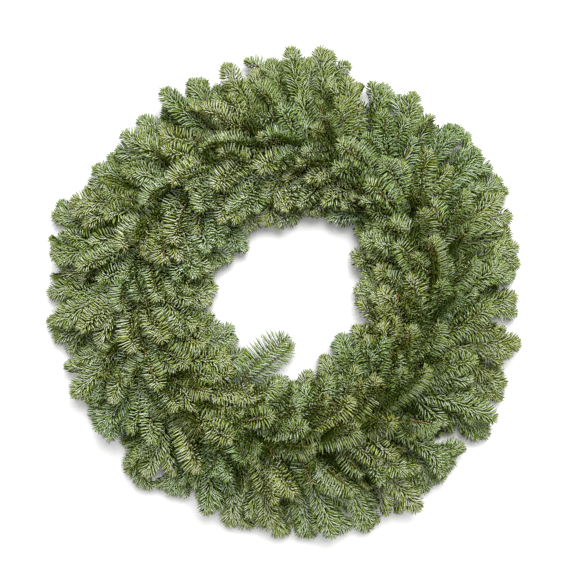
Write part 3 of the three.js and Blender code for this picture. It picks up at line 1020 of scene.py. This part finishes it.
def bark_material():
    material, nodes = new_material("fir_bark")
    along = nodes.attribute("growth")[0]
    single = nodes.attribute("tone")[0]
    base = nodes.mix(along, colour(90, 82, 40), colour(122, 118, 54))
    cracks = nodes.range(nodes.noise(420, 4), 0.4, 0.7, 0, 0.8)
    base = nodes.mix(cracks, base, colour(64, 58, 30))
    tan = nodes.range(single, 0.86, 0.98, 0, 0.75)
    base = nodes.mix(tan, base, colour(158, 122, 74))
    nodes.set("Base Color", base)
    nodes.set("Roughness", nodes.mottled(500, 3, 0.6, 0.85))
    nodes.set("Specular IOR Level", 0.2)
    nodes.bump(nodes.noise(900, 4), 0.6, 0.0008)
    return material


def bud_material():
    material, nodes = new_material("fir_bud")
    along = nodes.attribute("growth")[0]
    single = nodes.attribute("tone")[0]
    base = nodes.mix(single, colour(136, 110, 56), colour(140, 134, 72))
    base = nodes.mix(nodes.math("POWER", along, 2), base, colour(116, 90, 48))
    scales = nodes.new("ShaderNodeTexVoronoi")
    scales.inputs["Scale"].default_value = 700
    nodes.link(nodes.new("ShaderNodeTexCoord").outputs["Object"], scales.inputs["Vector"])
    edge = scales.outputs["Distance"]
    seams = nodes.range(edge, 0.1, 0.7, 0, 0.5)
    nodes.set("Base Color", nodes.mix(seams, base, colour(96, 62, 38)))
    nodes.set("Roughness", nodes.mottled(600, 2, 0.35, 0.6))
    nodes.bump(edge, 0.5, 0.0006)
    return material


def lacquer_material():
    material, nodes = new_material("green_lacquer")
    clouds = nodes.range(nodes.noise(60, 4), 0.35, 0.7, 0, 1)
    base = nodes.mix(clouds, colour(38, 62, 40), colour(54, 82, 52))
    worn = nodes.range(nodes.noise(330, 5), 0.66, 0.72, 0, 0.8)
    nodes.set("Base Color", nodes.mix(worn, base, colour(112, 98, 82)))
    nodes.set("Metallic", 0.15)
    nodes.set("Roughness", nodes.mottled(200, 3, 0.3, 0.5))
    nodes.bump(nodes.noise(500, 3), 0.3, 0.0004)
    return material


def paper_material():
    material, nodes = new_material("pale_paper")
    clouds = nodes.mottled(9, 3, 0, 1)
    tint = nodes.mix(clouds, colour(200, 200, 199), colour(205, 205, 204))
    # Painted light: the paper is made paler with distance from the middle, where the lamp's light
    # falls off
    away = nodes.new("ShaderNodeVectorMath", operation="LENGTH")
    nodes.link(nodes.new("ShaderNodeNewGeometry").outputs["Position"], away.inputs[0])
    painted_far_light = nodes.range(away.outputs["Value"], 0.6, 2.4, 0, 1)
    nodes.set("Base Color", nodes.mix(painted_far_light, tint, colour(250, 250, 249)))
    nodes.set("Roughness", 0.85)
    return material


# The wreath

foliage = [needle_material(), bark_material(), bud_material()]
grown = [grow_bunch(bunch) for bunch in range(BUNCHES)]
draw = np.random.default_rng(WREATH_SEED)
thin_out([needles for _, needles in grown], draw)
for bunch, (mesh, needles) in enumerate(grown):
    number = f"{bunch + 1:02d}"
    needles.build(mesh, draw)
    piece = mesh.make(f"foliage_{number}", foliage)
    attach(piece, "root")
    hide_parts(f"bunch_{number}")
ring = make_ring([lacquer_material()])
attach(ring, "root")
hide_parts("wire_ring")

# Floor, light and camera: places and sizes in metres, the camera's own in millimetres

FLOOR_HALF = 30
FLOOR_DROP = 0.0005  # below the wreath
SKY_STRENGTH = 1.13
WINDOW_PLACE = Vector((0.3, 1.3, 2.8))
WINDOW_SIZE = 1.8
WINDOW_POWER = 165
LENS = 70
SENSOR = 36
MM_PER_PIXEL = 1.23
FRAME_PIXELS = 576
PHOTO_MIDDLE = (0.0051, 0.0062)  # the camera is straight above this place
PHOTO_HEIGHT = 0.03  # above the floor, where a pixel shows MM_PER_PIXEL

corners = [(-1, -1), (1, -1), (1, 1), (-1, 1)]
floor_mesh = bpy.data.meshes.new("floor")
floor_corners = [(FLOOR_HALF * x, FLOOR_HALF * y, 0) for x, y in corners]
floor_mesh.from_pydata(floor_corners, [], [range(len(corners))])
floor_mesh.materials.append(paper_material())
floor = into_scene("floor", floor_mesh)
floor.location.z = -FLOOR_DROP

world = bpy.data.worlds.new("studio")
bpy.context.scene.world = world
world.use_nodes = True
sky = world.node_tree.nodes["Background"].inputs
sky["Color"].default_value = (1.0, 1.0, 1.0, 1.0)
sky["Strength"].default_value = SKY_STRENGTH

window_light = bpy.data.lights.new("window", "AREA")
window_light.shape = "DISK"
window_light.size = WINDOW_SIZE
window_light.energy = WINDOW_POWER
window = into_scene("window", window_light)
window.location = WINDOW_PLACE
window.rotation_euler = (-WINDOW_PLACE).to_track_quat("-Z", "Y").to_euler()

view_width = MM_PER_PIXEL * FRAME_PIXELS * MM
distance = view_width * LENS / SENSOR
camera_data = bpy.data.cameras.new("camera")
camera_data.lens = LENS
camera_data.sensor_width = SENSOR
camera = into_scene("camera", camera_data)
camera.location = (*PHOTO_MIDDLE, distance + PHOTO_HEIGHT)
bpy.context.scene.camera = camera
bpy.context.scene.view_settings.view_transform = "Standard"
